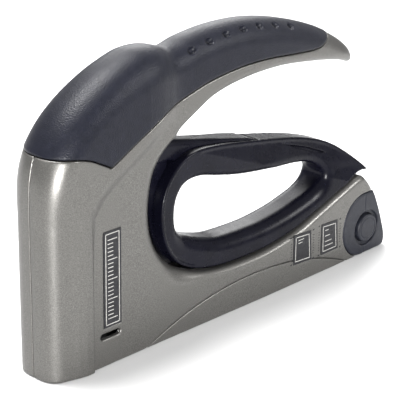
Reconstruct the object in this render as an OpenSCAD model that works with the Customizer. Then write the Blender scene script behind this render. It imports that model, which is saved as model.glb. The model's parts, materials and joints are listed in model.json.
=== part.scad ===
// Hand staple gun: a C-shaped body with a nose column, a rubber covered horn on top,
// a lower arm, and a closed finger ring between them that is squeezed up to shoot.
// Millimetres. +X points to the rear, the left side faces -Y, +Z is up.
// The base is the plane z = 0 and the nose's front is near x = -98.

/* [Body] */
// Half width of the nose column
nose_half = 13.8; // [13.2:0.1:14]
// Half width of the side panels behind the nose
panel_half = 12; // [11.8:0.1:12.4]
// Half width of the lower arm's rear end
rear_half = 10; // [9.8:0.1:10.4]
// Half width of the horn
horn_half = 10; // [9.5:0.1:10.5]
// Thickness of the shells' walls
shell_wall = 2.2; // [1.8:0.1:2.4]
// Thickness of the rubber grip
rubber_t = 2.6; // [2.2:0.1:2.8]

/* [Trigger] */
// Half width of the finger ring
ring_half = 9; // [8.5:0.1:9.2]
// Half width of the trigger frame that enters the body
frame_half = 5; // [4.5:0.1:5.2]
// Gap between the finger ring and the lower arm at rest
ring_gap = 0.7; // [0.5:0.1:1]
// Radius of the trigger's hinge pin
trigger_pin_r = 3; // [2.5:0.1:3.2]

/* [Striker] */
// Width of the driver blade across the body
blade_w = 11.2; // [10.6:0.1:11.4]
// Radius of the main spring at its wire's centre
spring_r = 5.6; // [5.2:0.1:5.8]
// Radius of the main spring's wire
spring_wire_r = 0.9; // [0.7:0.05:1]

/* [Magazine] */
// Length of the staple strip
strip_l = 50; // [30:1:50]
// Length of a staple's legs
staple_leg = 8; // [6:1:8]
// Thickness of the staple wire
staple_t = 0.6; // [0.5:0.05:0.7]
// Radius of the release buttons
button_r = 6.4; // [6:0.1:6.4]

/* [Hidden] */

far = 130;                       // beyond every part of the body
nose_x = -98.8;                    // front of the nose
nose_arc_x = 10;                 // depth of the nose's round front under the rubber
corner = [-93.4, 5.9];           // centre of the column's front corner, x and half width
corner_r = 5.4;
waist_z = 84;                    // the lower plan shape reaches up to here
fit = 0.05;                      // radial clearance of pins and buttons
trigger_axis = [-60, 71];        // x and z of the hinge pins
rocker_axis = [-68, 38];
rocker_nose = [-82, 32.2];       // x and z of the rocker's lifting nose at rest
rocker_tip = [-71.8, 47.2];      // x and z of the rocker's roller at rest
cap_c = [83.3, 14.2];            // centre of the rear cap's round front
cap_r = 14.5;
cap_gap = 0.25;
button_c = [85.3, 12];
button_web = 3;                  // half thickness of the web between the button pockets
belly_x = [-52, 72];             // ends of the belly cover's arched parting line
belly_h = 13.1;                  // height of that arch
belly_mid = (belly_x[0] + belly_x[1]) / 2;
belly_half = (belly_x[1] - belly_x[0]) / 2;
belly_r = (belly_half * belly_half + belly_h * belly_h) / (2 * belly_h);
belly_floor = 1;
blade_x = -92.6;                 // front face of the driver blade
blade_t = 1;
column_x = -85;                  // axis of the main spring
plunger_z = 34.9;                // underside of the plunger at rest
plunger_h = 14;
spring_top = 84;
mag_front = -90.8;               // front end of the staple rail
rail_half = 4.9;
rail_z = [2.2, 10.6];
rail_t = 0.8;
channel_half = 7.2;
channel_t = 1;
channel_top = 13.4;
channel_end = 60;
strip_x = mag_front - 0.2;
crown_z = rail_z[1] + 0.4;       // underside of the staples' crowns
pusher_l = 10.6;
screw_spots = [[-60, 25.5], [-66, 100], [20, 107.2], [48, 18.8]];
latch_c = [58, 16.6];
badge_rect = [[-73.9, 16], [-64.9, 16], [-64.9, 55], [-73.9, 55]];
label_rects = [[[34.9, 9], [47, 8.4], [46, 22], [34.9, 22.6]],
    [[53.4, 8.2], [65, 8.2], [64, 21.8], [53, 22.4]]];
label_t = 0.5;
window_rect = [[-75.6, 11.4], [-65.4, 11.4], [-65.4, 13.8], [-75.6, 13.8]];

silver = [0.56, 0.55, 0.52];
rubber = [0.10, 0.11, 0.14];
gloss_black = [0.05, 0.05, 0.07];
charcoal = [0.14, 0.14, 0.17];
steel = [0.62, 0.63, 0.66];

// Top of the lower arm, the throat and the horn's underside, from the rear cap to the horn's tip
inner_pts = [[90.2, 27.2], [88.6, 30.2], [85.6, 34], [80.2, 37.3], [67.5, 33.6], [50, 27.5], [36, 23.2],
    [19, 20.6], [2, 20.2], [-12, 21.2], [-24, 23.8], [-33, 28.4], [-40, 35], [-44.6, 43],
    [-46.6, 52], [-46.3, 62], [-43.6, 71.5], [-37.6, 79.2], [-29.4, 84.8], [-20, 89.6], [-11, 93.4],
    [0, 95.8], [14, 97.2], [30, 97.1], [48, 95], [62, 92.7], [70.5, 90.6], [75.6, 88.6]];
// The horn's tip, the horn's top, the hump and the nose's upper front
outer_pts = [[78.2, 89.2], [77.9, 92.2], [74.6, 96.8], [66, 102.6], [54, 108.5], [40, 113.4], [24, 117.5],
    [8, 119.7], [-8, 119.8], [-22, 118.2], [-29, 116.4], [-33, 115.9], [-37, 117.2], [-42, 118.5],
    [-48, 118.7], [-54, 117.6], [-65, 113.6], [-76, 107.8], [-85.2, 101.1], [-92, 93.8],
    [-96, 86.8], [-98.2, 78], [nose_x, 66]];
// Lower edge of the rubber, from the horn's end to the front of the nose
rubber_pts = [[66, 108], [60, 105], [54.5, 102.4], [48, 101], [34, 101.8], [20, 102.9], [6, 103],
    [-6, 102], [-18, 100], [-30, 96.8], [-41, 94], [-52, 89.2], [-61, 84.6], [-70, 79.6],
    [-74, 81.8], [-81, 85.2], [-90, 87], [-110, 87.2]];
// The hollow inside the shells
cavity_pts = [[60, 27], [50, 24.6], [36, 20.4], [19, 17.8], [2, 17.4], [-12, 18.4], [-25, 21],
    [-35, 26], [-43, 34], [-47.6, 42], [-49.4, 52], [-49.2, 62], [-46.6, 72.5], [-41, 81.6],
    [-32, 89], [-22, 94.6], [-12, 98.6], [0, 100.8], [14, 101.9], [30, 101.6], [44, 99.8]];
cavity_top_pts = [[44, 106], [36, 109], [24, 111.4], [8, 113.2], [-8, 113.6], [-22, 112.8],
    [-33, 111.8], [-43, 112.6], [-54, 111.6], [-65, 108], [-76, 102], [-84, 95.8], [-90, 89.4],
    [-93, 84], [-94.8, 76], [-95.4, 66]];
// Half widths along the body: [x, half width] behind the nose's round front
low_plan = [[-89.7, 12.1], [-86.6, 13.1], [-83.4, nose_half], [-80, nose_half],
    [-76.5, panel_half + 0.3], [-50, panel_half], [16, panel_half - 0.3], [45, 11.1], [90, rear_half],
    [100, rear_half - 0.2]];
high_plan = [[-60, nose_half], [-50, nose_half - 0.2], [-44, nose_half - 0.8], [-38.5, 11.9],
    [-34, horn_half + 0.6], [-29, horn_half + 0.1], [-10, horn_half], [20, horn_half],
    [45, horn_half - 0.8], [64, 8], [74, 6.4], [79, 4]];
// Outside of the finger ring: underside, front, top and rear corner
ring_pts = [[87.6, 38], [80.2, 37.8 + ring_gap], [67.3, 33.6 + ring_gap], [49.7, 27.5 + ring_gap],
    [35.8, 23.2 + ring_gap], [19, 20.6 + ring_gap], [2, 20.2 + ring_gap], [-11.8, 21.2 + ring_gap],
    [-23.6, 24.1 + ring_gap], [-31.5, 28.6 + ring_gap], [-36.4, 35], [-39.4, 42], [-40.5, 50],
    [-39.8, 57], [-37.2, 63.4], [-33, 68.4], [-28, 71.8], [-20, 73.2], [-6.7, 71.8], [10, 69],
    [34, 64.5], [49.4, 60.9], [62.8, 56], [73.4, 50], [83.4, 42.4], [88.4, 38]];
// The finger hole
hole_pts = [[-20, 36], [-13, 33.6], [-6, 31.9], [2, 31.2], [12, 31], [22, 31.3], [34, 32.8], [44, 35],
    [51, 37], [56, 39.4], [58.6, 42.4], [57, 46], [51, 49.8], [41, 52.2], [24, 54], [7, 56], [-6, 58.6],
    [-17, 61.2], [-25.4, 60.6], [-29.8, 56.4], [-31.4, 50], [-30.6, 43.6], [-26.4, 39.2]];
// The trigger frame: arm into the body, core of the top bar and rear block
frame_pts = [[-50, 80], [-50, 64.2], [-42, 64.8], [-33.5, 64.4], [-27, 66.8], [-20, 67], [-6, 63.4], [7, 60.6], [24, 59], [41, 58],
    [50, 56], [58, 52.6], [63.4, 44], [64, 38.4], [70, 37.4], [78, 39.8], [80, 41.6], [72, 48.4],
    [62, 55.2], [50, 60.4], [34, 65.2], [12.6, 70.2], [-7, 74.2], [-19, 76.6], [-30, 79.2],
    [-40, 80.2]];
// The thinner web in front of the ring, which closes the throat
web_pts = [[-48, 71], [-51.5, 62], [-52.4, 54], [-51.6, 46], [-48, 37], [-42.5, 29.8], [-36, 25.6],
    [-29.5, 27.6], [-32.8, 33], [-36, 41], [-37, 48], [-36.2, 56], [-34, 63], [-35, 71]];
// The steel plate inside the trigger: its arm and its toe
plate_arm_pts = [[-62, 65], [-46, 67.5], [-34, 69], [-20, 69], [-2, 65.6], [-2, 69], [-20, 73],
    [-34, 77], [-44, 78.5], [-58, 78.6]];
plate_toe_pts = [[-64, 77], [-76.5, 62], [-77.4, 45.5], [-74.2, 45.5], [-73.8, 58], [-60, 64]];
cap_back_pts = [[94.6, 0], [97.9, 0.8], [98.8, 3.2], [98.4, 7], [96.6, 12.4], [94.9, 17], [92.2, 23.2],
    [90.6, 26.4], [89.3, 28.7]];

// Point at t between b and c on a smooth curve through a, b, c and d
function through(a, b, c, d, t) =
    0.5 * (2 * b + (c - a) * t + (2 * a - 5 * b + 4 * c - d) * t * t + (3 * b - a - 3 * c + d) * t * t * t);
// Smooth open curve through the points, with n steps between neighbours
function curve(p, n = 3) = concat([for (i = [0:len(p) - 2], k = [0:n - 1])
    through(p[max(i - 1, 0)], p[i], p[i + 1], p[min(i + 2, len(p) - 1)], k / n)], [p[len(p) - 1]]);
// Smooth closed curve through the points
function ring_curve(p, n = 3) = let (m = len(p)) [for (i = [0:m - 1], k = [0:n - 1])
    through(p[(i + m - 1) % m], p[i], p[(i + 1) % m], p[(i + 2) % m], k / n)];
// An open curve moved sideways by d, to the left of its direction
function moved(p, d) = [for (i = [0:len(p) - 1])
    let (v = p[min(i + 1, len(p) - 1)] - p[max(i - 1, 0)]) p[i] + d * [-v[1], v[0]] / norm(v)];
// One side of a plan shape and its mirror image
function both_sides(p) = concat(p, [for (i = [len(p) - 1:-1:1]) [p[i][0], -p[i][1]]]);
// Plan shape drawn in by d, below with a flat front and round corners, above with a round nose
function square_front(d) = concat([[nose_x + d, 0]], [for (a = [0:11.25:90])
    [corner[0] - (corner_r - d) * cos(a), corner[1] + (corner_r - d) * sin(a)]]);
function round_front(d) = [for (a = [0:7.5:90])
    [nose_x + nose_arc_x - (nose_arc_x - d) * cos(a), (nose_half - d) * sin(a)]];
function plan(front, side, d) = both_sides(concat(front, [for (p = side) [p[0], p[1] - d]]));
// Triangulated tube of radius r along a list of points
function unit(v) = v / norm(v);
function tube_points(path, r, sides) = [for (i = [0:len(path) - 1])
    let (t = unit(path[min(i + 1, len(path) - 1)] - path[max(i - 1, 0)]),
        u = unit(cross(t, abs(t[2]) < 0.9 ? [0, 0, 1] : [1, 0, 0])), v = cross(t, u))
    for (k = [0:sides - 1]) path[i] + r * (cos(360 * k / sides) * u + sin(360 * k / sides) * v)];
function tube_faces(n, sides) = concat([[for (k = [0:sides - 1]) k]],
    [for (i = [0:n - 2], k = [0:sides - 1]) let (a = i * sides, b = a + sides, j = (k + 1) % sides)
        each [[a + k, b + k, b + j], [a + k, b + j, a + j]]], [[for (k = [sides - 1:-1:0]) (n - 1) * sides + k]]);

// Coil spring along +Z with its ends' wire inside z = 0 and z = length
module coil(r, wire, length, turns, steps = 12, sides = 6) {
    path = [for (i = [0:turns * steps])
        [r * cos(360 * i / steps), r * sin(360 * i / steps),
            wire + (length - 2 * wire) * i / (turns * steps)]];
    polyhedron(tube_points(path, wire, sides), tube_faces(len(path), sides));
}

// Outline in X and Z, made solid from y0 to y1
module slab(points, y0, y1)
    translate([0, y1, 0]) rotate([90, 0, 0]) linear_extrude(y1 - y0) polygon(points);
// Round bar along Y
module rod(c, r, y0, y1, steps = 64)
    translate([c[0], y1, c[1]]) rotate([90, 0, 0]) cylinder(h = y1 - y0, r = r, $fn = steps);
// Box from its lowest to its highest corner
module block(a, b) translate(a) cube(b - a);
module left_half() block([-far, -far, -1], [far, 0, far]);
module right_half() block([-far, 0, -1], [far, far, far]);

body_outline = concat([[nose_x, 0], [cap_c[0], 0], cap_c, [88, 26.5]], curve(inner_pts), curve(outer_pts));
core_outline = concat([[-far, -5], [far, -5], [far, 80]], moved(curve(outer_pts), rubber_t), [[-far, 60]]);
cavity_outline = concat([[-95.4, -1], [60, -1]], curve(cavity_pts), curve(cavity_top_pts));

// Everything inside the plan shapes, drawn in by d
module plan_solid(d) {
    translate([0, 0, -2]) linear_extrude(waist_z + 2) polygon(plan(square_front(d), low_plan, d));
    translate([0, 0, waist_z - 1]) linear_extrude(50) polygon(plan(round_front(d), high_plan, d));
}
module outer_body() intersection() {
    slab(body_outline, -far, far);
    plan_solid(0);
}
module rubber_zone() difference() {
    slab(concat([[-110, 130], [66, 130]], curve(rubber_pts)), -far, far);
    intersection() {
        slab(core_outline, -far, far);
        plan_solid(rubber_t);
    }
}
module belly_zone(gap) intersection() {
    rod([belly_mid, belly_h - belly_r], belly_r + gap, -far, far, 720);
    block([belly_x[0] - 5, -far, -1], [belly_x[1] + 5, far, belly_h + 5]);
}
// Flush plates in the side faces
module label_zone() difference() {
    for (r = label_rects) slab(r, -far, far);
    plan_solid(label_t);
}
module badge_zone() difference() {
    slab(badge_rect, -far, far);
    plan_solid(label_t);
}
module cavity() {
    intersection() {
        slab(cavity_outline, -far, far);
        plan_solid(shell_wall + 0.001);
        union() {
            block([-far, -far, -1], [far, far, waist_z]);
            slab([[-far, waist_z - 1], [44, waist_z - 1], [44, far], [-far, far]], -7.2, 7.2);
            block([-far, -9, waist_z - 1], [-56, 9, far]);
        }
    }
    block([-60, -frame_half - 1, 22], [-18, frame_half + 1, 94]);
    block([55, -channel_half - 0.3, -1], [78, channel_half + 0.3, 16]);
}
// Both shells in one, before they are split at the middle
module shells() difference() {
    union() {
        difference() {
            outer_body();
            cavity();
        }
        intersection() {
            outer_body();
            for (s = [-1, 1]) scale_y(s) {
                rod(trigger_axis, 5.5, 8.5, 13);
                rod(rocker_axis, 4.5, 6, 13);
            }
            for (c = screw_spots) rod(c, 3.4, -far, far);
        }
    }
    rubber_zone();
    belly_zone(0.15);
    label_zone();
    badge_zone();
    rod(cap_c, cap_r + cap_gap, -far, far);
    block([cap_c[0], -far, -1], [far, far, cap_c[1] + cap_r + cap_gap]);
    rod(trigger_axis, trigger_pin_r + fit, -11, 11);
    rod(rocker_axis, 2.5 + fit, -11, 11);
    rod(latch_c, 1.5 + fit, -9.8, 9.8);
    slab(window_rect, -far, far);
    for (c = screw_spots) {
        rod(c, 1.5, -5.5, far);
        rod(c, 3, 5.5, far);
    }
}
module scale_y(s) if (s < 0) mirror([0, 1, 0]) children(); else children();

module left_shell() color(silver) intersection() {
    shells();
    left_half();
}
module right_shell() color(silver) intersection() {
    shells();
    right_half();
}
module rubber_grip() color(rubber) intersection() {
    outer_body();
    rubber_zone();
}
module belly_cover() color(silver) difference() {
    intersection() {
        belly_zone(0);
        plan_solid(0);
        block([-far, -far, 0], [far, far, far]);
    }
    block([-far, -channel_half - 0.3, belly_floor], [far, channel_half + 0.3, far]);
    label_zone();
    rod(cap_c, cap_r + cap_gap, -far, far);
}
module nose_plate() color(steel) block([-94.4, -6.2, 0], [-93, 6.2, 30]);
module driver_guide() color(silver) difference() {
    block([-91, -9, channel_top + 0.6], [-85.6, 9, 29.4]);
    rod([-88.3, 22], 1.6, -far, far);
}
module shock_bumper() color(rubber) block([-91, -8, 29.4], [-86, 8, 34.4]);
module spring_cap() color(steel) {
    translate([column_x, 0, spring_top]) cylinder(h = 2.6, r = 6.4, $fn = 64);
    translate([column_x, 0, spring_top - 4]) cylinder(h = 4, r = 3.6, $fn = 48);
    block([column_x - 3, -8.8, spring_top], [column_x + 3, 8.8, spring_top + 2.6]);
}
module staple_channel() color(steel) difference() {
    block([-91.2, -channel_half, 1.3], [channel_end, channel_half, channel_top]);
    block([-100, channel_t - channel_half, 0], [100, channel_half - channel_t, channel_top - channel_t]);
}
module staple_strip() color(steel) difference() {
    block([strip_x, -blade_w / 2, crown_z + staple_t - staple_leg],
        [strip_x + strip_l, blade_w / 2, crown_z + staple_t]);
    block([strip_x - 1, staple_t - blade_w / 2, 0], [strip_x + strip_l + 1, blade_w / 2 - staple_t, crown_z]);
}
module latch_bar() color(steel) rod(latch_c, 1.5, -9.6, 9.6);
module trigger_pin() color(steel) rod(trigger_axis, trigger_pin_r, -10.8, 10.8);
module rocker_pin() color(steel) rod(rocker_axis, 2.5, -10.8, 10.8);
module return_spring() color(steel)
    translate([trigger_axis[0], 8.2, trigger_axis[1]]) rotate([90, 0, 0]) coil(4.4, 0.5, 5.4, 4);
module housing_screws() color(steel) for (c = screw_spots) {
    rod(c, 1.45, -5.3, 5.6);
    difference() {
        rod(c, 2.8, 5.6, 7.1);
        translate([c[0], 7.6, c[1]]) rotate([90, 30, 0]) cylinder(h = 1.4, r = 1.3, $fn = 6);
    }
}
module badges() color(charcoal) intersection() {
    outer_body();
    badge_zone();
}
module size_labels() color(charcoal) intersection() {
    outer_body();
    label_zone();
}

module trigger_plate() color(steel) difference() {
    union() {
        rod(trigger_axis, 8, -1.5, 1.5);
        slab(plate_arm_pts, -1.5, 1.5);
        slab(plate_toe_pts, -1.5, 1.5);
    }
    rod(trigger_axis, trigger_pin_r + fit, -far, far);
}
module trigger_frame_blank() {
    slab(frame_pts, -frame_half, frame_half);
    slab(web_pts, 1.5 - frame_half, frame_half - 1.5);
}
module trigger_frame() color(gloss_black) difference() {
    trigger_frame_blank();
    slab(plate_arm_pts, -1.5, 1.5);
    rod(trigger_axis, 8, -1.5, 1.5);
}
// The ring's flanks lean in towards its rear top: what lies outside them
module flank_cut(s) scale_y(s) translate([0, 10.7, 60]) rotate([16.9, 0, -6.7])
    block([-200, 0, -200], [200, 40, 200]);
module finger_ring() color(gloss_black) difference() {
    slab(ring_curve(ring_pts), -ring_half, ring_half);
    slab(ring_curve(hole_pts), -far, far);
    trigger_frame_blank();
    flank_cut(1);
    flank_cut(-1);
}

module rocker() color(steel) difference() {
    union() {
        for (y = [-5.5, 2.5]) {
            slab([rocker_nose + [0, 1.1], rocker_nose + [3.4, 1.7], [-73, 39], rocker_tip + [-2.8, 0.6],
                rocker_tip + [2.6, 1.4], [-63.6, 40], [-64, 35], [-72, 33.2], rocker_nose + [1, -1.7]],
                y, y + 3);
            rod(rocker_axis, 5, y, y + 3);
            rod(rocker_tip, 3, y, y + 3);
        }
        rod(rocker_nose, 1.8, -5.5, 5.5);
    }
    rod(rocker_axis, 2.5 + fit, -far, far);
    rod(rocker_tip, 1 + fit, -far, far);
}
module rocker_roller() color(steel) {
    rod(rocker_tip, 1, -5.5, 5.5);
    rod(rocker_tip, 2, -2.3, 2.3);
}
module plunger() color(steel) {
    block([blade_x + blade_t, -6, plunger_z], [-79.5, 6, plunger_z + plunger_h]);
    translate([column_x, 0, plunger_z + plunger_h]) cylinder(h = 6, r = 3.6, $fn = 48);
}
module driver_blade() color(steel)
    block([blade_x, -blade_w / 2, 0.6], [blade_x + blade_t, blade_w / 2, plunger_z + plunger_h]);
module main_spring() color(steel) translate([column_x, 0, plunger_z + plunger_h])
    coil(spring_r, spring_wire_r, spring_top - plunger_z - plunger_h, 9);

module staple_rail() color(steel) difference() {
    block([mag_front, -rail_half, rail_z[0]], [76, rail_half, rail_z[1]]);
    block([-100, rail_t - rail_half, 0], [100, rail_half - rail_t, rail_z[1] - rail_t]);
}
// Rear cap with round pockets for the buttons
module rear_cap() difference() {
    union() {
        intersection() {
            rod(cap_c, cap_r, -far, far);
            slab(concat([[60, 0]], cap_back_pts, [[86, 40], [60, 40]]), -far, far);
            plan_solid(0);
        }
        intersection() {
            slab(concat([[cap_c[0], cap_c[1] + cap_r], [cap_c[0], 0]], curve(cap_back_pts)), -far, far);
            plan_solid(0);
        }
        block([62, -4, 12], [76, 4, 14]);
    }
    block([60, -rail_half, rail_z[0]], [76, rail_half, rail_z[1]]);
    for (s = [-1, 1]) scale_y(s) {
        rod(button_c, button_r + 1, button_web, 7.4);
        rod(button_c, button_r + 0.1, button_web, far);
        rod(button_c, button_r + 2.2, 9.4, far);
    }
    rod(button_c, 3.2, -far, far);
}
module rear_cap_left() color(charcoal) intersection() {
    rear_cap();
    left_half();
}
module rear_cap_right() color(charcoal) intersection() {
    rear_cap();
    right_half();
}
module pusher_spring() color(steel)
    translate([14, 0, 6]) rotate([0, 90, 0]) coil(2.4, 0.3, 48, 22, 8);
module button_spring() color(steel)
    translate([button_c[0], 3, button_c[1]]) rotate([90, 0, 0]) coil(2.4, 0.3, 6, 5, 10);
module pusher() color(charcoal) translate([strip_x + strip_l + 0.3, 0, 0]) difference() {
    block([0, -5.7, 1.3], [pusher_l, 5.7, 12]);
    difference() {
        block([-1, -rail_half - 0.2, rail_z[0] - 0.2], [20, rail_half + 0.2, rail_z[1] + 0.2]);
        block([-1, rail_t - rail_half + 0.3, 0], [20, rail_half - rail_t - 0.3, rail_z[1] - rail_t - 0.3]);
    }
}
module button(s) color(charcoal) scale_y(s) {
    rod(button_c, button_r, 5.2, 10.9);
    rod(button_c, button_r + 0.8, 5.2, 7.2);
}
module left_button() button(-1);
module right_button() button(1);

left_shell();
right_shell();
rubber_grip();
belly_cover();
nose_plate();
driver_guide();
shock_bumper();
spring_cap();
staple_channel();
staple_strip();
latch_bar();
trigger_pin();
rocker_pin();
return_spring();
housing_screws();
badges();
size_labels();
trigger_plate();
trigger_frame();
finger_ring();
rocker();
rocker_roller();
plunger();
driver_blade();
main_spring();
staple_rail();
rear_cap_left();
rear_cap_right();
pusher_spring();
button_spring();
pusher();
left_button();
right_button();
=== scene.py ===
"""Looks of the staple gun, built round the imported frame.

The skins (shells, rubber, ring, caps) are solids described by signed distances in
millimetres and meshed here; the small inner parts stay the CAD's own.
"""
import json
import math

import bpy
import numpy as np
from mathutils import Matrix, Vector


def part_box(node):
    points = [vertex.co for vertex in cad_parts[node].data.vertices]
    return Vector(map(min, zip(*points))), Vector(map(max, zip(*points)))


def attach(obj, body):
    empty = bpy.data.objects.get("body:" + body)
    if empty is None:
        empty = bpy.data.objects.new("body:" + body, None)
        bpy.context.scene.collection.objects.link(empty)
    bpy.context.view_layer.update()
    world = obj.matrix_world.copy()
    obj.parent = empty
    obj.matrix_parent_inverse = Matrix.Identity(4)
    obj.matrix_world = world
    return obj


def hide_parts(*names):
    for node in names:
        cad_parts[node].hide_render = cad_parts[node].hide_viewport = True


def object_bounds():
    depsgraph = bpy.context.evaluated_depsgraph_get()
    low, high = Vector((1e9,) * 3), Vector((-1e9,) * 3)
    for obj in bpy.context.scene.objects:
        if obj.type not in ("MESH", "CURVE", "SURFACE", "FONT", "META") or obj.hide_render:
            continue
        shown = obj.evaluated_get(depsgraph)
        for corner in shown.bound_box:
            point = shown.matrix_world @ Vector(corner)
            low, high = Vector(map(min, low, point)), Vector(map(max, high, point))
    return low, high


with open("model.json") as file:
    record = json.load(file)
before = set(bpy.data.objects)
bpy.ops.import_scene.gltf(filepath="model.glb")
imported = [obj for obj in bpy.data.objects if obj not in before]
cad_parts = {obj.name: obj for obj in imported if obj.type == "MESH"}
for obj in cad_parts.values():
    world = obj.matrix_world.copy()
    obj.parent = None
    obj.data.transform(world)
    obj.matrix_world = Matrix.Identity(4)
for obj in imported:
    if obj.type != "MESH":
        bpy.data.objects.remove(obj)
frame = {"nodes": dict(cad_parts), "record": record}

cad_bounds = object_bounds()

MM = 0.001
LIMIT = 300.0                    # further out than anything, in millimetres


def mm_box(node):
    """Lowest and highest corner of a CAD node, in millimetres."""
    low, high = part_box(node)
    return np.array(low) / MM, np.array(high) / MM


# ---------------------------------------------------------------- design values (mm)
SHELL_LOW = mm_box("left_shell")[0]
BUTTON_LOW, BUTTON_HIGH = mm_box("left_button")
BELLY_LOW, BELLY_HIGH = mm_box("belly_cover")
NOSE_X = SHELL_LOW[0]
WALL = 2.2
RUBBER_T = 2.6
RUBBER_PROUD = 0.3               # how far the rubber stands out over the silver
SEAM = 0.16                      # half the gap between the two shells
SKIN_GAP = 0.05                  # how far the silver skins stay inside the CAD's surface
CAP_C = (83.3, 14.2)             # centre and radius of the rear cap's round front
CAP_R = 14.5
CAP_GAP = 0.4
BUTTON_C = ((BUTTON_LOW[0] + BUTTON_HIGH[0]) / 2, (BUTTON_LOW[2] + BUTTON_HIGH[2]) / 2)
BUTTON_R = 6.4
BUTTON_TOP = 10.85
BELLY_MID = (BELLY_LOW[0] + BELLY_HIGH[0]) / 2
BELLY_R = 153.2
BELLY_TOP = 13.1
RING_HALF = 9.0
FRAME_HALF = 5.0
WEB_HALF = FRAME_HALF - 1.5
TRIGGER_AXIS = (-60, 71)

# Top of the lower arm, the throat and the horn's underside
INNER = [(90.2, 27.2), (88.6, 30.2), (85.6, 34), (80.2, 37.3), (67.5, 33.6), (50, 27.5), (36, 23.2),
         (19, 20.6), (2, 20.2), (-12, 21.2), (-24, 23.8), (-33, 28.4), (-40, 35), (-44.6, 43),
         (-46.6, 52), (-46.3, 62), (-43.6, 71.5), (-37.6, 79.2), (-29.4, 84.8), (-20, 89.6), (-11, 93.4),
         (0, 95.8), (14, 97.2), (30, 97.1), (48, 95), (62, 92.7), (70.5, 90.6), (75.6, 88.6)]
# The horn's tip, the horn's top, the hump and the nose's upper front
OUTER = [(78.2, 89.2), (77.9, 92.2), (74.6, 96.8), (66, 102.6), (54, 108.5), (40, 113.4), (24, 117.5),
         (8, 119.7), (-8, 119.8), (-22, 118.2), (-29, 116.4), (-33, 115.9), (-37, 117.2), (-42, 118.5),
         (-48, 118.7), (-54, 117.6), (-65, 113.6), (-76, 107.8), (-85.2, 101.1), (-92, 93.8),
         (-96, 86.8), (-98.2, 78), (NOSE_X, 66)]
# Lower edge of the rubber
RUBBER_EDGE = [(66, 108), (60, 105), (54.5, 102.4), (48, 101), (34, 101.8), (20, 102.9), (6, 103),
               (-6, 102), (-18, 100), (-30, 96.8), (-41, 94), (-52, 89.2), (-61, 84.6), (-69.4, 80.2),
               (-71.2, 80.4), (-75, 82.4), (-81, 85.2), (-90, 87), (-110, 87.2)]
# Foot of the raised band that runs up the column and under the rubber to the throat
VALLEY = [(-79.5, -40), (-79.5, 54), (-78, 64), (-72.5, 70.5), (-64.5, 75.5), (-55, 80.5), (-48, 84.8),
          (-42, 88), (-36, 86), (-20, 70), (200, 60)]
RING = [(87.6, 38.2), (80.2, 38.5), (67.3, 34.3), (49.7, 28.2), (35.8, 23.9), (19, 21.3), (2, 20.9),
        (-11.8, 21.9), (-23.6, 24.8), (-31.5, 29.3), (-36.4, 35), (-39.4, 42), (-40.5, 50),
        (-39.8, 57), (-37.2, 63.4), (-33, 68.4), (-28, 71.8), (-20, 73.4), (-6.7, 72.2), (10, 69.4),
        (34, 64.9), (49.4, 61.1), (62.8, 56.2), (73.4, 50), (83.4, 42.6), (88.4, 38.2)]
HOLE = [(-20, 36), (-13, 33.6), (-6, 31.9), (2, 31.2), (12, 31), (22, 31.3), (34, 32.8), (44, 35),
        (51, 37), (56, 39.4), (58.6, 42.4), (57, 46), (51, 49.8), (41, 52.2), (24, 54), (7, 56), (-6, 58.6),
        (-17, 61.2), (-25.4, 60.6), (-29.8, 56.4), (-31.4, 50), (-30.6, 43.6), (-26.4, 39.2)]
ARM = [(-50, 80), (-50, 71.4), (-42, 71.6), (-33.5, 71.4), (-28, 70.2), (-20, 67), (-6, 63.4),
       (7, 60.6), (24, 59), (41, 57), (50, 54.6), (57, 51.6), (62.4, 44), (64, 40.4), (70, 39.4),
       (76, 40.6), (70, 46.4), (60, 52.4), (49, 57.4), (34, 62), (24, 65.2), (12.6, 69.8),
       (-7, 74.2), (-19, 76.6), (-30, 79.2), (-40, 80.2)]
WEB = [(-48, 72), (-51.5, 62), (-52.4, 54), (-51.6, 46), (-48, 37), (-42.5, 29.8), (-36, 25.6),
       (-29.5, 27.6), (-32.8, 33), (-36, 41), (-37, 48), (-36.2, 56), (-34, 63), (-32, 72)]
CAP_BACK = [(94.6, 0), (97.9, 0.8), (98.8, 3.2), (98.4, 7), (96.6, 12.4), (94.9, 17), (92.2, 23.2),
            (90.6, 26.4), (89.3, 28.6)]
BADGE = [(-73.9, 16), (-64.9, 16), (-64.9, 55), (-73.9, 55)]
LABELS = [[(34.9, 9), (47, 8.4), (46, 22), (34.9, 22.6)], [(53.4, 8.2), (65, 8.2), (64, 21.8), (53, 22.4)]]
WINDOW = ((-75.6, 11.4), (-65.4, 13.8))
SCREWS = [(-60, 25.5), (48, 18.8)]


# ---------------------------------------------------------------- outlines and distances
def curve(points, steps=6, closed=False):
    """Smooth curve through the points."""
    p = np.array(points, float)
    n = len(p)
    out = []
    for i in range(n if closed else n - 1):
        if closed:
            a, b, c, d = p[i - 1], p[i], p[(i + 1) % n], p[(i + 2) % n]
        else:
            a, b, c, d = p[max(i - 1, 0)], p[i], p[i + 1], p[min(i + 2, n - 1)]
        for k in range(steps):
            t = k / steps
            out.append(0.5 * (2 * b + (c - a) * t + (2 * a - 5 * b + 4 * c - d) * t ** 2
                              + (3 * b - a - 3 * c + d) * t ** 3))
    if not closed:
        out.append(p[-1])
    return np.array(out)


def outline_distance(poly, x, z):
    """Signed distance to a closed outline, negative inside."""
    x, z = np.broadcast_arrays(x, z)
    best = np.full(x.shape, LIMIT ** 2)
    sign = np.ones(x.shape)
    for a, b in zip(poly, np.roll(poly, -1, axis=0)):
        ex, ez = b - a
        wx, wz = x - a[0], z - a[1]
        t = np.clip((wx * ex + wz * ez) / max(ex * ex + ez * ez, 1e-12), 0, 1)
        best = np.minimum(best, (wx - ex * t) ** 2 + (wz - ez * t) ** 2)
        up, down, left = z >= a[1], z < b[1], ex * wz > ez * wx
        sign = np.where((up & down & left) | (~up & ~down & ~left), -sign, sign)
    return sign * np.sqrt(best)


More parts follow.
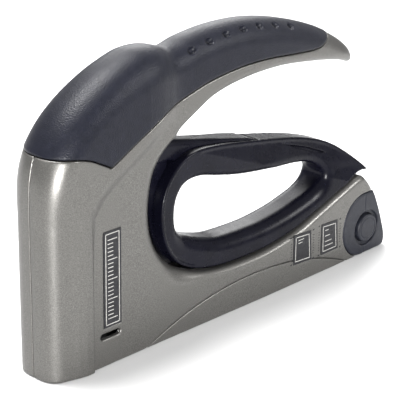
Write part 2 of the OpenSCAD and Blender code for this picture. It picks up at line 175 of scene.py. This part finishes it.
def both(a, b, r):
    """Intersection of two solids with the edge between them rounded to radius r."""
    return np.minimum(np.maximum(a, b), -r) + np.hypot(np.maximum(a + r, 0), np.maximum(b + r, 0))


def either(a, b, r):
    """Union of two solids with a fillet of radius r between them."""
    return -both(-a, -b, r)


def cut(a, b, r):
    """Solid a without solid b, with the edge rounded to radius r."""
    return both(a, -b, r)


def box(x, y, z, low, high):
    """Signed distance to a box."""
    q = [np.abs(v - (a + b) / 2) - (b - a) / 2 for v, a, b in zip((x, y, z), low, high)]
    return np.maximum(np.maximum(q[0], q[1]), q[2])


def ramp(v, a, b):
    """0 below a, 1 above b, smooth between."""
    t = np.clip((v - a) / (b - a), 0, 1)
    return t * t * (3 - 2 * t)


outer_poly = np.vstack([[(140, -60), (140, 60), (84, 82)], curve(OUTER), [(NOSE_X, 40), (NOSE_X, -60)]])
gap_poly = np.vstack([curve(INNER), [(150, 85), (150, 27.2)]])
rubber_poly = np.vstack([[(-110, 140), (66, 140)], curve(RUBBER_EDGE)])
valley_poly = np.vstack([[(-300, -40)], curve(VALLEY[:-1]), [VALLEY[-1], (200, 200), (-300, 200)]])
ring_poly = curve(RING, closed=True)
hole_poly = curve(HOLE, closed=True)
arm_poly = np.array(ARM, float)
web_poly = np.array(WEB, float)
cap_poly = np.vstack([[(CAP_C[0], 0)], curve(CAP_BACK), [(CAP_C[0], CAP_C[1] + CAP_R - 0.1)]])


HUMP_PLAN = curve([(-98, 13.7), (-56, 13.7), (-50, 13.6), (-44, 13), (-38.5, 11.8), (-34, 10.6),
                   (-29, 10.1), (-20, 10), (-10, 10), (20, 10), (45, 9.2), (64, 8), (74, 6.4), (78, 4.6)])


# ---------------------------------------------------------------- the body as one solid
def half_width(x, z):
    """Half width of the body's sides, with the raised column and band."""
    low = np.interp(x, [-80, -76, -50, 16, 45, 90, 100], [12.3, 12.3, 12, 11.7, 11.1, 10, 9.8])
    column = np.interp(x, [-98, -93.4, -89.7, -86.6, -83.4, -79], [10.4, 11.3, 12.2, 13.1, 13.7, 13.75])
    hump = np.interp(x, HUMP_PLAN[:, 0], HUMP_PLAN[:, 1])
    upper = ramp(z, 60, 88)
    high = column + (hump - column) * upper
    spread = np.interp(z, [30, 50, 72], [0.6, 1.2, 3.4])
    raised = 1 - ramp(outline_distance(valley_poly, x, z) / spread, -1, 1)
    return low + (high - low) * raised


def body(x, y, z, grow=0.0, bottom=True):
    """Outside of shells, rubber and belly together, without the rear cap."""
    w = half_width(x, z)
    upper = ramp(z, 58, 92)
    out = outline_distance(outer_poly, x, z)
    squash = 1 + upper * np.interp(x, [NOSE_X, -85, -50], [0.33, 0.25, 0])
    crown = 0.012 * np.minimum(y ** 2, 36) * (1 - upper)
    r_out = 5.4 + (0.96 * w - 5.4) * upper
    f = both(np.abs(y) - w, out * squash + crown, r_out)
    throat = ramp(-x, 18, 38) * (1 - ramp(z, 70, 92))
    r_in = 2.6 + 5.0 * throat + 1.2 * ramp(z, 85, 95)
    f = both(f, -outline_distance(gap_poly, x, z), r_in)
    f = both(f, x - 90.4, 1.0)
    f = f - grow
    if bottom:
        f = both(f, -z, 0.7)
    return f


def cap_hole(x, z):
    """The room for the rear cap and its way out to the rear."""
    disc = np.hypot(x - CAP_C[0], z - CAP_C[1]) - CAP_R - CAP_GAP
    behind = np.maximum(CAP_C[0] - x, z - CAP_C[1] - CAP_R - CAP_GAP)
    return np.minimum(disc, behind)


def belly_edge(x, z):
    """Distance above the belly cover's arched parting line."""
    return np.hypot(x - 10, z - (BELLY_TOP - BELLY_R)) - BELLY_R


def plates(x, y, z):
    """The recess of badge and labels, a little into the side faces."""
    d = outline_distance(np.array(BADGE, float), x, z)
    for quad in LABELS:
        d = np.minimum(d, outline_distance(np.array(quad, float), x, z))
    return np.maximum(d, half_width(x, z) - 0.4 - np.abs(y))


def shell(x, y, z, side):
    """Left (side -1) or right (side 1) shell."""
    f = body(x, y, z, -SKIN_GAP - (RUBBER_PROUD - SKIN_GAP) * ramp(z, 68, 86))
    cavity = np.maximum(body(x, y, z, -WALL, bottom=False), x - 64)
    f = np.maximum(f, -cavity)
    core = body(x, y, z, -RUBBER_T)
    rubber = np.maximum(outline_distance(rubber_poly, x, z) - 0.3, -core)
    f = cut(f, rubber, 0.3)
    f = cut(f, np.maximum(belly_edge(x, z) - 0.12, np.abs(x - 10) - 66), 0.12)
    f = cut(f, cap_hole(x, z), 0.3)
    f = np.maximum(f, -box(x, y, z, (83.3, -20, -5), (99, 20, 26.6)))
    f = np.maximum(f, -box(x, y, z, (-60, -6, 22), (-18, 6, 94)))
    f = np.maximum(f, -box(x, y, z, (55, -7.5, -5), (78, 7.5, 16)))
    (x0, z0), (x1, z1) = WINDOW
    slot = np.hypot(x - np.clip(x, x0 + 1.2, x1 - 1.2), z - (z0 + z1) / 2) - 1.2
    f = cut(f, np.maximum(slot, -(np.abs(y) - 8)), 0.5)
    f = cut(f, plates(x, y, z), 0.1)
    if side > 0:
        for cx, cz in SCREWS:
            hole = np.maximum(np.hypot(x - cx, z - cz) - 3, 5.5 - y)
            f = cut(f, hole, 0.4)
    return both(f, SEAM - side * y, 0.35)


def dimple_places():
    """Centre, tangent along the horn, tangent round it and normal of each dimple."""
    top = curve(OUTER)
    order = np.argsort(top[:, 0])
    for i in range(7):
        x = -24 + 9.6 * i
        reach = 7.7 - 0.25 * i
        z = np.interp(x, top[order, 0], top[order, 1])
        slope = (np.interp(x + 1, top[order, 0], top[order, 1]) - z)
        r = 0.96 * half_width(x, z)
        lean = math.asin(reach / r)
        along = np.array([1, 0, slope]) / math.hypot(1, slope)
        for side in (-1, 1):
            normal = np.array([-slope * math.cos(lean), side * math.sin(lean), math.cos(lean)])
            normal /= np.linalg.norm(normal)
            centre = np.array([x, side * reach, z - r + r * math.cos(lean)])
            yield centre, along, np.cross(normal, along), normal


DIMPLES = list(dimple_places())


def rubber_grip(x, y, z):
    """The rubber over hump and horn, with two rows of dimples."""
    f = body(x, y, z, 0, bottom=False)
    f = np.maximum(f, -body(x, y, z, -RUBBER_T, bottom=False))
    f = both(f, outline_distance(rubber_poly, x, z) + 0.1, 0.9)
    for centre, along, around, normal in DIMPLES:
        d = (x - centre[0], y - centre[1], z - centre[2])
        u = sum(a * b for a, b in zip(d, along)) / 1.9
        v = sum(a * b for a, b in zip(d, around)) / 1.5
        n = sum(a * b for a, b in zip(d, normal)) / 1.4
        f = cut(f, np.sqrt(u ** 2 + v ** 2 + n ** 2) - 1, 0.15)
    return f


def belly_cover(x, y, z):
    """The lens-shaped cover under the arched parting line."""
    f = body(x, y, z, -SKIN_GAP)
    f = both(f, belly_edge(x, z) + 0.12, 0.12)
    f = np.maximum(f, -box(x, y, z, (-200, -7.6, 1.0), (200, 7.6, 30)))
    f = cut(f, cap_hole(x, z), 0.3)
    f = np.maximum(f, x - 74.5)
    return cut(f, plates(x, y, z), 0.1)


# ---------------------------------------------------------------- trigger
def ring_half(x, z):
    """The ring's flanks lean in towards its rear top."""
    return np.minimum(RING_HALF, 28.8 - 0.1175 * x - 0.306 * z)


def frame_half(x, z):
    """The frame is narrower than the ring where the ring covers it."""
    inside_ring = np.minimum(FRAME_HALF, ring_half(x, z) - 0.9)
    return FRAME_HALF + (inside_ring - FRAME_HALF) * ramp(x, -12, 14)


def finger_ring(x, y, z):
    """The wide black ring with a raised rim, hollowed where the frame passes through."""
    w = ring_half(x, z)
    outside = outline_distance(ring_poly, x, z)
    rim = np.maximum(ramp(z, 44, 56), ramp(-x, 16, 28))
    flank = np.abs(y) - w + 0.5 * ramp(-outside, 0.8, 1.7) * rim + 0.05 * np.minimum(-outside, 9)
    f = both(flank, outside, 0.65)
    r_hole = 3.4 + 2.6 * (1 - ramp(z, 34, 46))
    f = both(f, -outline_distance(hole_poly, x, z), r_hole)
    arm = both(np.abs(y) - frame_half(x, z), outline_distance(arm_poly, x, z), 0.3)
    f = np.maximum(f, -(arm - 0.05))
    return np.maximum(f, -np.maximum(np.abs(y) - WEB_HALF, outline_distance(web_poly, x, z)))


def trigger_frame(x, y, z):
    """The arm over the ring and the thinner web in front of it."""
    edge = 0.6 + 2.4 * ramp(z, 71, 75)
    arm = both(np.abs(y) - frame_half(x, z), outline_distance(arm_poly, x, z), edge)
    web = both(np.abs(y) - WEB_HALF, outline_distance(web_poly, x, z), 0.6)
    f = either(arm, web, 0.3)
    pin = np.hypot(x - TRIGGER_AXIS[0], z - TRIGGER_AXIS[1]) - 8.2
    return np.maximum(f, -np.maximum(pin, np.abs(y) - 1.6))


# ---------------------------------------------------------------- rear cap and buttons
def rear_cap(x, y, z, side):
    """One half of the rear cap: a disc that runs out to the rear, with a stepped hole."""
    disc = np.hypot(x - CAP_C[0], z - CAP_C[1]) - CAP_R
    outline = np.minimum(np.maximum(disc, x - CAP_C[0] - 0.5), outline_distance(cap_poly, x, z))
    w = np.interp(x, [60, 90, 100], [10.4, 9.95, 9.8]) + 0.1
    f = both(np.abs(y) - w, outline, 0.9)
    f = both(f, -z, 0.6)
    r = np.hypot(x - BUTTON_C[0], z - BUTTON_C[1])
    f = cut(f, np.maximum(r - BUTTON_R - 1.7, 8.8 - np.abs(y)), 0.5)
    f = cut(f, np.maximum(r - BUTTON_R - 0.15, 3 - np.abs(y)), 0.3)
    f = np.maximum(f, -box(x, y, z, (60, -4.9, 2.2), (76, 4.9, 10.6)))
    return both(f, 0.08 - side * y, 0.2)


def button(x, y, z, side):
    """A round button with a fine groove in its face."""
    r = np.hypot(x - BUTTON_C[0], z - BUTTON_C[1])
    out = side * y
    f = both(r - BUTTON_R, out - BUTTON_TOP, 0.9)
    f = both(f, 5.2 - out, 0.3)
    rim = np.hypot(r - BUTTON_R + 1.5, out - BUTTON_TOP) - 0.22
    return cut(f, rim, 0.1)


# ---------------------------------------------------------------- meshing
def mesh_of(field, low, high, step):
    """Closed quad mesh of a solid: one point in each grid cell that its surface crosses."""
    axes = [np.arange(a - step, b + 2 * step, step) for a, b in zip(low, high)]
    x, y, z = axes[0][:, None, None], axes[1][None, :, None], axes[2][None, None, :]
    f = np.broadcast_to(field(x, y, z), [len(a) for a in axes]).astype(np.float32)
    shape = np.array(f.shape)
    strides = np.array([shape[1] * shape[2], shape[2], 1])
    cell_ids, points, quads = [], [], []
    for axis in range(3):
        a = [slice(None)] * 3
        b = [slice(None)] * 3
        a[axis], b[axis] = slice(0, -1), slice(1, None)
        f0, f1 = f[tuple(a)], f[tuple(b)]
        at = np.argwhere((f0 < 0) != (f1 < 0))
        v0, v1 = f0[tuple(at.T)], f1[tuple(at.T)]
        p = at.astype(float)
        p[:, axis] += v0 / (v0 - v1)
        others = [k for k in range(3) if k != axis]
        corners = []
        for du, dv in ((0, 0), (1, 0), (1, 1), (0, 1)):
            cell = at.copy()
            cell[:, others[0]] -= du
            cell[:, others[1]] -= dv
            corners.append(cell @ strides)
            cell_ids.append(corners[-1])
            points.append(p)
        quad = np.stack(corners, axis=1)
        flip = (v0 < 0) == (axis == 1)
        quad[flip] = quad[flip][:, ::-1]
        quads.append(quad)
    cell_ids, points, quads = np.concatenate(cell_ids), np.concatenate(points), np.concatenate(quads)
    cells, inverse = np.unique(cell_ids, return_inverse=True)
    count = np.bincount(inverse)
    verts = np.stack([np.bincount(inverse, points[:, k]) / count for k in range(3)], axis=1)
    verts = verts * step + np.array([a[0] for a in axes])
    return pull_to_surface(field, verts, step), np.searchsorted(cells, quads)


def pull_to_surface(field, verts, step):
    """Moves points onto the exact surface along the solid's gradient."""
    eps = 0.05
    for _ in range(2):
        x, y, z = verts.T
        f = field(x, y, z)
        g = np.stack([field(x + eps, y, z) - f, field(x, y + eps, z) - f, field(x, y, z + eps) - f], 1) / eps
        move = g * (f / np.maximum((g ** 2).sum(1), 0.2))[:, None]
        far = np.linalg.norm(move, axis=1, keepdims=True)
        verts = verts - move * np.minimum(1, 0.5 * step / np.maximum(far, 1e-9))
    return verts


def piece(name, field, low, high, step, body_name, material, nodes):
    """Meshes a solid and makes it the piece that stands for the CAD nodes."""
    verts, quads = mesh_of(field, low, high, step)
    mesh = bpy.data.meshes.new(name)
    mesh.from_pydata((verts * MM).tolist(), [], quads.tolist())
    mesh.validate()
    mesh.shade_smooth()
    obj = bpy.data.objects.new(name, mesh)
    bpy.context.scene.collection.objects.link(obj)
    mesh.materials.append(material)
    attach(obj, body_name)
    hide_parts(*nodes)
    return obj


def strokes(name, lines, width, material):
    """Thin raised strokes on both side faces; each line is a list of (x, z)."""
    verts, faces = [], []
    for line in lines:
        for (x0, z0), (x1, z1) in zip(line, line[1:]):
            length = math.hypot(x1 - x0, z1 - z0)
            tx, tz = (x1 - x0) / length * width / 2, (z1 - z0) / length * width / 2
            ring = [(x0 - tx - tz, z0 - tz + tx), (x1 + tx - tz, z1 + tz + tx),
                    (x1 + tx + tz, z1 + tz - tx), (x0 - tx + tz, z0 - tz - tx)]
            for side in (-1, 1):
                base = len(verts)
                for lift in (-0.2, 0.05):
                    verts += [(x, side * (float(half_width(x, z)) + lift), z) for x, z in ring]
                quads = [(0, 1, 2, 3), (7, 6, 5, 4)]
                quads += [(k, k + 4, (k + 1) % 4 + 4, (k + 1) % 4) for k in range(4)]
                for quad in quads:
                    faces.append(tuple(base + k for k in (quad if side < 0 else quad[::-1])))
    mesh = bpy.data.meshes.new(name)
    mesh.from_pydata([tuple(c * MM for c in v) for v in verts], [], faces)
    mesh.materials.append(material)
    obj = bpy.data.objects.new(name, mesh)
    bpy.context.scene.collection.objects.link(obj)
    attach(obj, "housing")
    return obj


def inset(quad, d):
    """The four-cornered outline drawn in by d, closed."""
    middle = np.mean(quad, axis=0)
    points = [tuple(np.array(p) - d * np.sign(np.array(p) - middle)) for p in quad]
    return points + points[:1]


# ---------------------------------------------------------------- materials
class Nodes:
    """Short way to write one material's node tree."""

    def __init__(self, name, color, roughness, metallic=0.0, coat=0.0):
        self.material = bpy.data.materials.new(name)
        self.material.use_nodes = True
        self.tree = self.material.node_tree
        self.shader = self.tree.nodes["Principled BSDF"]
        self.shader.inputs["Base Color"].default_value = (*color, 1)
        self.shader.inputs["Roughness"].default_value = roughness
        self.shader.inputs["Metallic"].default_value = metallic
        self.shader.inputs["Coat Weight"].default_value = coat
        self.place = self.tree.nodes.new("ShaderNodeTexCoord").outputs["Object"]

    def noise(self, scale, detail=3.0, stretch=None):
        """Noise with the given number of grains per millimetre."""
        node = self.tree.nodes.new("ShaderNodeTexNoise")
        node.inputs["Scale"].default_value = scale / MM
        node.inputs["Detail"].default_value = detail
        source = self.place
        if stretch:
            mapping = self.tree.nodes.new("ShaderNodeMapping")
            mapping.inputs["Scale"].default_value = stretch
            self.tree.links.new(source, mapping.inputs["Vector"])
            source = mapping.outputs["Vector"]
        self.tree.links.new(source, node.inputs["Vector"])
        return node.outputs["Fac"]

    def cells(self, scale):
        node = self.tree.nodes.new("ShaderNodeTexVoronoi")
        node.inputs["Scale"].default_value = scale / MM
        self.tree.links.new(self.place, node.inputs["Vector"])
        return node.outputs["Distance"]

    def mapped(self, value, low, high, from_low=0.3, from_high=0.7):
        node = self.tree.nodes.new("ShaderNodeMapRange")
        node.inputs["From Min"].default_value = from_low
        node.inputs["From Max"].default_value = from_high
        node.inputs["To Min"].default_value = low
        node.inputs["To Max"].default_value = high
        self.tree.links.new(value, node.inputs["Value"])
        return node.outputs["Result"]

    def colors(self, value, *stops):
        node = self.tree.nodes.new("ShaderNodeValToRGB")
        ramp_ = node.color_ramp
        while len(ramp_.elements) < len(stops):
            ramp_.elements.new(0.5)
        for element, (place, color) in zip(ramp_.elements, stops):
            element.position = place
            element.color = (*color, 1)
        self.tree.links.new(value, node.inputs["Fac"])
        self.tree.links.new(node.outputs["Color"], self.shader.inputs["Base Color"])

    def rough(self, value):
        self.tree.links.new(value, self.shader.inputs["Roughness"])

    def bump(self, value, height, strength=1.0):
        node = self.tree.nodes.new("ShaderNodeBump")
        node.inputs["Distance"].default_value = height * MM
        node.inputs["Strength"].default_value = strength
        self.tree.links.new(value, node.inputs["Height"])
        self.tree.links.new(node.outputs["Normal"], self.shader.inputs["Normal"])


def silver_paint():
    m = Nodes("silver_paint", (0.104, 0.101, 0.095), 0.38, metallic=0.75, coat=0.04)
    flakes = m.noise(3.2, 2.0)
    m.colors(flakes, (0.30, (0.070, 0.068, 0.064)), (0.5, (0.104, 0.101, 0.095)),
             (0.70, (0.145, 0.142, 0.134)))
    m.rough(m.mapped(m.noise(0.9), 0.34, 0.41))
    m.bump(m.noise(2.4), 0.035, 0.6)
    return m.material


def grip_rubber():
    m = Nodes("grip_rubber", (0.004, 0.0045, 0.008), 0.48)
    m.shader.inputs["Sheen Weight"].default_value = 0.03
    m.shader.inputs["Sheen Roughness"].default_value = 0.45
    m.shader.inputs["Specular IOR Level"].default_value = 0.16
    m.colors(m.noise(0.35), (0.35, (0.003, 0.0035, 0.007)), (0.65, (0.005, 0.0055, 0.010)))
    m.rough(m.mapped(m.noise(1.2), 0.34, 0.48))
    m.bump(m.cells(2.0), 0.10, 0.8)
    return m.material


def gloss_black():
    m = Nodes("gloss_black", (0.002, 0.002, 0.0045), 0.34)
    m.shader.inputs["Specular IOR Level"].default_value = 0.10
    m.colors(m.noise(0.08), (0.4, (0.0018, 0.0018, 0.004)), (0.6, (0.003, 0.003, 0.006)))
    m.rough(m.mapped(m.noise(0.25, 4), 0.24, 0.33))
    m.bump(m.noise(1.2), 0.008, 0.5)
    return m.material


def charcoal():
    m = Nodes("charcoal_plastic", (0.008, 0.0085, 0.013), 0.45)
    m.shader.inputs["Specular IOR Level"].default_value = 0.25
    m.colors(m.noise(0.5), (0.35, (0.006, 0.0065, 0.010)), (0.65, (0.011, 0.012, 0.017)))
    m.rough(m.mapped(m.noise(1.0), 0.38, 0.54))
    m.bump(m.cells(2.4), 0.05, 0.6)
    return m.material


def steel(name, color, roughness, stretch=(1, 1, 12)):
    m = Nodes(name, color, roughness, metallic=1.0)
    grain = m.noise(1.5, 3, stretch)
    dark = tuple(0.8 * c for c in color)
    m.colors(grain, (0.35, dark), (0.65, color))
    m.rough(m.mapped(grain, roughness - 0.06, roughness + 0.08))
    m.bump(grain, 0.01, 0.5)
    return m.material


def cast_zinc():
    m = Nodes("cast_zinc", (0.32, 0.33, 0.35), 0.55, metallic=0.9)
    m.rough(m.mapped(m.noise(0.8), 0.5, 0.65))
    m.bump(m.noise(1.4, 4), 0.08, 0.7)
    return m.material


def dark_print():
    m = Nodes("dark_print", (0.009, 0.009, 0.010), 0.5)
    m.shader.inputs["Specular IOR Level"].default_value = 0.25
    m.colors(m.noise(0.6), (0.35, (0.006, 0.006, 0.007)), (0.65, (0.012, 0.012, 0.014)))
    m.rough(m.mapped(m.noise(1.5), 0.42, 0.58))
    return m.material


def pale_print():
    m = Nodes("pale_print", (0.24, 0.235, 0.225), 0.5)
    m.colors(m.noise(1.5), (0.35, (0.20, 0.195, 0.185)), (0.65, (0.28, 0.275, 0.26)))
    m.rough(m.mapped(m.noise(1.2), 0.42, 0.58))
    return m.material


SILVER = silver_paint()
RUBBER = grip_rubber()
BLACK = gloss_black()
CHARCOAL = charcoal()
STEEL = steel("bright_steel", (0.55, 0.56, 0.58), 0.28)
SPRING = steel("spring_steel", (0.32, 0.32, 0.35), 0.32, (1, 1, 1))
WIRE = steel("staple_wire", (0.68, 0.68, 0.70), 0.22, (12, 1, 1))
SCREW = steel("dark_screws", (0.10, 0.10, 0.11), 0.38, (1, 1, 1))
ZINC = cast_zinc()
PRINT = dark_print()
PALE = pale_print()
CAD_LOOKS = {
    "silver_paint": SILVER, "grip_rubber": RUBBER, "bumper_rubber": RUBBER, "bright_steel": STEEL,
    "zinc": ZINC, "staple_wire": WIRE, "spring_steel": SPRING, "dark_screws": SCREW,
    "dark_label": PRINT, "gloss_black": BLACK, "charcoal_plastic": CHARCOAL}
SLOTS = {row["node"]: row["material_slot"] for row in frame["record"]["subparts"]}
for node_name, cad_object in frame["nodes"].items():
    for material_slot in cad_object.material_slots:
        material_slot.material = CAD_LOOKS[SLOTS[node_name]]

# ---------------------------------------------------------------- pieces
LEFT_Y, RIGHT_Y = (-13.9, 0.2), (-0.2, 13.9)
for side, name, (y0, y1) in ((-1, "left_shell", LEFT_Y), (1, "right_shell", RIGHT_Y)):
    piece(name + "_skin", lambda x, y, z, s=side: shell(x, y, z, s),
          (-99.4, y0, -0.3), (91, y1, 119), 0.5, "housing", SILVER, [name])
piece("rubber_skin", rubber_grip, (-99, -14, 78.5), (67, 14, 120.2), 0.5, "housing", RUBBER,
      ["rubber_grip"])
piece("belly_skin", belly_cover, (-53, -12.6, -0.2), (75, 12.6, 13.6), 0.45, "housing", SILVER,
      ["belly_cover"])
piece("ring_skin", finger_ring, (-41, -9.2, 20), (89.2, 9.2, 74.8), 0.45, "trigger", BLACK,
      ["finger_ring"])
piece("frame_skin", trigger_frame, (-53, -5.2, 25), (81, 5.2, 81), 0.45, "trigger", BLACK,
      ["trigger_frame"])
for side, name, (y0, y1) in ((-1, "left", (-10.7, 0)), (1, "right", (0, 10.7))):
    piece(f"rear_cap_{name}_skin", lambda x, y, z, s=side: rear_cap(x, y, z, s),
          (68, y0, -0.2), (99.2, y1, 29.6), 0.35, "magazine", CHARCOAL, [f"rear_cap_{name}"])
    piece(f"{name}_button_skin", lambda x, y, z, s=side: button(x, y, z, s),
          (78, min(side * 5, side * 11), 5), (93, max(side * 5, side * 11), 19), 0.3, f"{name}_release",
          CHARCOAL, [f"{name}_button"])


FRAMES = [inset(quad, 1.3) for quad in LABELS] + [inset(BADGE, 1.1)]
ROWS = [[(38, z), (38 + w, z)] for z, w in ((19.6, 3.2), (18.3, 2.2))]
ROWS += [[(56, z), (56 + w, z)] for z, w in ((19, 1.8), (16.4, 3), (13.8, 4.2), (11.8, 5))]
SCALE_X = -71.6
SCALE = [[(SCALE_X, z), (SCALE_X + (4.4 if k % 5 == 0 else 2.4), z)]
         for k, z in enumerate(np.arange(19.5, 53, 1.6))]
strokes("plate_lines", FRAMES + ROWS + SCALE, 0.36, PALE)
DOTS = [(33.4, 22), (33.5, 9.6), (47.7, 21.8), (48.2, 8.6),
        (51.6, 22.2), (51.8, 8.6), (66, 21.6), (66.6, 8.4)]
TICKS = [(33.4, z) for z in np.arange(12, 20, 1.2)] + [(48, z) for z in np.arange(11, 20, 1.2)]
TICKS += [(51.6, z) for z in np.arange(11, 20, 1.2)] + [(66.2, z) for z in np.arange(11, 20, 1.2)]
strokes("print_dots", [[(x - 0.12, z), (x + 0.12, z)] for x, z in DOTS], 0.6, PRINT)
strokes("print_ticks", [[(x - 0.25, z), (x + 0.25, z)] for x, z in TICKS], 0.22, PRINT)

# ---------------------------------------------------------------- floor, light, camera
floor_mesh = bpy.data.meshes.new("floor")
FLOOR_R = 6.0
floor_mesh.from_pydata([(-FLOOR_R, -FLOOR_R, 0), (FLOOR_R, -FLOOR_R, 0), (FLOOR_R, FLOOR_R, 0),
                        (-FLOOR_R, FLOOR_R, 0)], [], [(0, 1, 2, 3)])
floor = bpy.data.objects.new("floor", floor_mesh)
bpy.context.scene.collection.objects.link(floor)
floor.location.z = cad_bounds[0][2] - 0.0002
floor_look = bpy.data.materials.new("floor_white")
floor_look.use_nodes = True
floor_look.node_tree.nodes["Principled BSDF"].inputs["Base Color"].default_value = (0.55, 0.55, 0.55, 1)
floor_look.node_tree.nodes["Principled BSDF"].inputs["Roughness"].default_value = 0.9
floor_mesh.materials.append(floor_look)

world = bpy.data.worlds.new("studio")
bpy.context.scene.world = world
world.use_nodes = True
sky = world.node_tree
direction = sky.nodes.new("ShaderNodeTexCoord").outputs["Generated"]
height = sky.nodes.new("ShaderNodeSeparateXYZ")
sky.links.new(direction, height.inputs["Vector"])
tint = sky.nodes.new("ShaderNodeValToRGB")
tint.color_ramp.elements[0].position = 0.0
tint.color_ramp.elements[0].color = (0.20, 0.20, 0.21, 1)
tint.color_ramp.elements[1].position = 0.8
tint.color_ramp.elements[1].color = (1, 1, 1, 1)
sky.links.new(height.outputs["Z"], tint.inputs["Fac"])
sky.links.new(tint.outputs["Color"], sky.nodes["Background"].inputs["Color"])
sky.nodes["Background"].inputs["Strength"].default_value = 0.85
bpy.context.scene.view_settings.view_transform = "Standard"


def area_light(name, place, target, size, power):
    light = bpy.data.lights.new(name, "AREA")
    light.shape = "DISK"
    light.size = size
    light.energy = power
    obj = bpy.data.objects.new(name, light)
    bpy.context.scene.collection.objects.link(obj)
    obj.location = place
    obj.rotation_euler = (Vector(target) - Vector(place)).to_track_quat("-Z", "Y").to_euler()


MIDDLE = (0.0, 0.0, 0.06)
area_light("back", (0.85, 0.95, 0.75), MIDDLE, 0.9, 12.0)
area_light("top", (-0.15, 0.35, 1.4), MIDDLE, 0.6, 50.0)
area_light("left", (-1.3, 0.35, 0.75), MIDDLE, 0.35, 1.2)
area_light("strip", (-0.86, -0.83, 0.12), MIDDLE, 0.14, 32.0)
area_light("right", (0.5, -0.8, 0.55), (0.05, 0, 0.02), 0.3, 8.0)

CAMERA_PLACE = Vector((-0.4333, -0.4127, 0.2758))
CAMERA_YAW, CAMERA_PITCH, CAMERA_ROLL = (math.radians(a) for a in (45.68, 21.1, 0.73))
FOCAL = 1579 / 400 * 36          # in millimetres on a 36 mm frame
camera_data = bpy.data.cameras.new("camera")
camera_data.lens = FOCAL
camera_data.sensor_width = 36
camera_data.clip_end = 50
camera = bpy.data.objects.new("camera", camera_data)
bpy.context.scene.collection.objects.link(camera)
level = math.cos(CAMERA_PITCH)
forward = Vector((math.sin(CAMERA_YAW) * level, math.cos(CAMERA_YAW) * level, -math.sin(CAMERA_PITCH)))
right = Vector((math.cos(CAMERA_YAW), -math.sin(CAMERA_YAW), 0))
up = right.cross(forward)
tilted_right = right * math.cos(CAMERA_ROLL) + up * math.sin(CAMERA_ROLL)
tilted_up = up * math.cos(CAMERA_ROLL) - right * math.sin(CAMERA_ROLL)
turn = Matrix((tilted_right, tilted_up, -forward)).transposed().to_4x4()
camera.matrix_world = Matrix.Translation(CAMERA_PLACE) @ turn
bpy.context.scene.camera = camera
